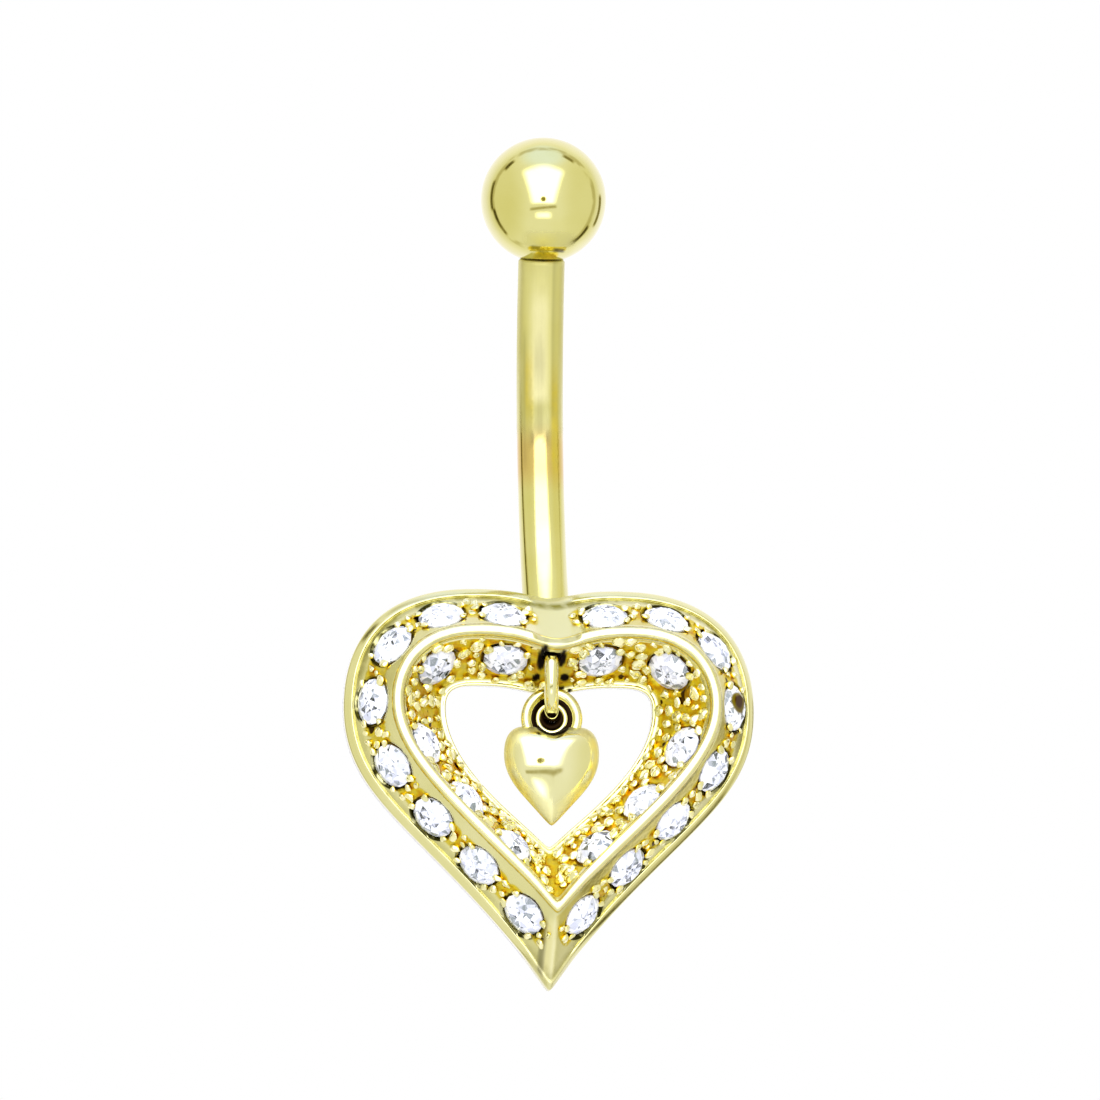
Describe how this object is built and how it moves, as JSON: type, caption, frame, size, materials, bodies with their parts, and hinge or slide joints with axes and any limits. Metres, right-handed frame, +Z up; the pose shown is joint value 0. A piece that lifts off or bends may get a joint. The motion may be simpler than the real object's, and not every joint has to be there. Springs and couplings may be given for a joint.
{
  "type": "navel ring",
  "caption": "Curved barbell navel ring with a screw-on ball and a soldered open heart set with round stones in two sloping bands, a small puffed heart hanging in its opening.",
  "frame": {"origin": "middle of the curved post, on its axis, where the piercing holds it", "axes": "+Z up along the post to the ball, -Y to the front of the heart, X across the heart"},
  "size_m": [0.0142, 0.0059, 0.0296],
  "materials": {
    "gold": "polished pale yellow gold",
    "stone": "clear faceted round stones"
  },
  "bodies": {
    "frame": {"heart_frame": "gold", "link": "gold", "outer_stone_right_1": "stone", "outer_stone_right_2": "stone", "outer_stone_right_3": "stone", "outer_stone_right_4": "stone", "outer_stone_right_5": "stone", "outer_stone_right_6": "stone", "outer_stone_right_7": "stone", "outer_stone_right_8": "stone", "outer_stone_left_1": "stone", "outer_stone_left_2": "stone", "outer_stone_left_3": "stone", "outer_stone_left_4": "stone", "outer_stone_left_5": "stone", "outer_stone_left_6": "stone", "outer_stone_left_7": "stone", "outer_stone_left_8": "stone", "inner_stone_right_1": "stone", "inner_stone_right_2": "stone", "inner_stone_right_3": "stone", "inner_stone_right_4": "stone", "inner_stone_right_5": "stone", "inner_stone_left_1": "stone", "inner_stone_left_2": "stone", "inner_stone_left_3": "stone", "inner_stone_left_4": "stone", "inner_stone_left_5": "stone"},
    "ball": {"ball": "gold"},
    "drop": {"drop": "gold"}
  },
  "joints": [
    {"name": "ball_unscrew", "type": "slide", "parent": "frame", "child": "ball", "axis": [0, -0.2208, 0.9753], "range_m": [0, 0.004]},
    {"name": "drop_swing", "type": "hinge", "parent": "frame", "child": "drop", "pos_m": [0, -0.00293, -0.00999], "axis": [0, 1, 0], "range_deg": [-12, 12]}
  ]
}
